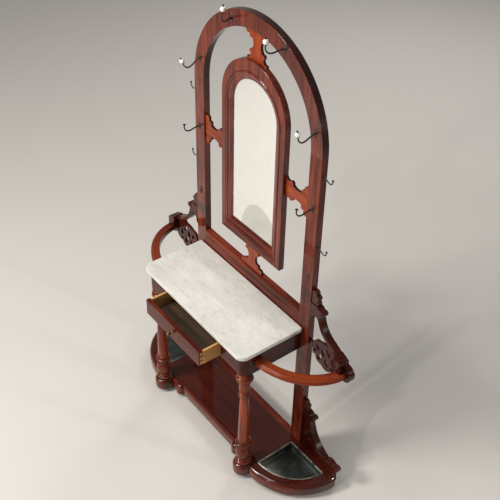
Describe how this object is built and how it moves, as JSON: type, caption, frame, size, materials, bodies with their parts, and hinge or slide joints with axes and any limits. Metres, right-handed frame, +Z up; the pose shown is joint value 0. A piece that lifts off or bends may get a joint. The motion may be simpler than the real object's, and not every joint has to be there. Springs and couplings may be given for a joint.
{
  "type": "hall tree",
  "caption": "Hall stand with an arched mirror, coat hooks, marble-topped table with a drawer, umbrella hoops and drip trays.",
  "frame": {"origin": "middle of the footprint of the whole stand, on the floor, with the drawer at its rest opening", "axes": "+Z up, -Y is the front, +X is the right-hand side seen from the front"},
  "size_m": [1.388, 0.4944, 2.1504],
  "materials": {
    "mahogany": "french polished, worn gloss",
    "pine": "bare, aged",
    "marble": "polished white stone with grey veins",
    "mirror_glass": "old silvered glass",
    "dark_iron": "worn black lacquer",
    "porcelain": "white glazed",
    "brass": "worn",
    "tray_metal": "painted, rusted at the front"
  },
  "bodies": {
    "stand": {"apron_left": "mahogany", "apron_right": "mahogany", "arch_left": "mahogany", "arch_right": "mahogany", "back_rail": "mahogany", "base_bearers": "pine", "base_board": "mahogany", "base_rail": "mahogany", "bracket_left": "mahogany", "bracket_right": "mahogany", "column_left": "mahogany", "column_right": "mahogany", "corner_block_left": "mahogany", "corner_block_right": "mahogany", "fret_bottom": "mahogany", "fret_left": "mahogany", "fret_right": "mahogany", "fret_top": "mahogany", "frieze": "mahogany", "glue_blocks": "pine", "hook_arms": "dark_iron", "hook_balls": "porcelain", "hook_plates": "dark_iron", "hook_tips": "dark_iron", "hoop_left": "mahogany", "hoop_right": "mahogany", "marble_top": "marble", "mirror_arch": "mahogany", "mirror_backboard": "pine", "mirror_blocks": "pine", "mirror_bottom": "mahogany", "mirror_glass": "mirror_glass", "mirror_side_left": "mahogany", "mirror_side_right": "mahogany", "panel_left": "mahogany", "panel_right": "mahogany", "runner_left": "pine", "runner_right": "pine", "side_hooks": "dark_iron", "stile_left": "mahogany", "stile_right": "mahogany", "wing_left": "mahogany", "wing_right": "mahogany"},
    "drawer": {"drawer_back": "pine", "drawer_bottom": "pine", "drawer_front": "mahogany", "drawer_knob": "brass", "drawer_side_left": "pine", "drawer_side_right": "pine"},
    "tray_left": {"tray_left": "tray_metal"},
    "tray_right": {"tray_right": "tray_metal"}
  },
  "joints": [
    {"name": "drawer_slide", "type": "slide", "parent": "stand", "child": "drawer", "axis": [0, -1, 0], "range_m": [-0.116, 0.09]},
    {"name": "tray_left_lift", "type": "slide", "parent": "stand", "child": "tray_left", "axis": [0, 0, 1], "range_m": [0, 0.08]},
    {"name": "tray_right_lift", "type": "slide", "parent": "stand", "child": "tray_right", "axis": [0, 0, 1], "range_m": [0, 0.08]}
  ]
}
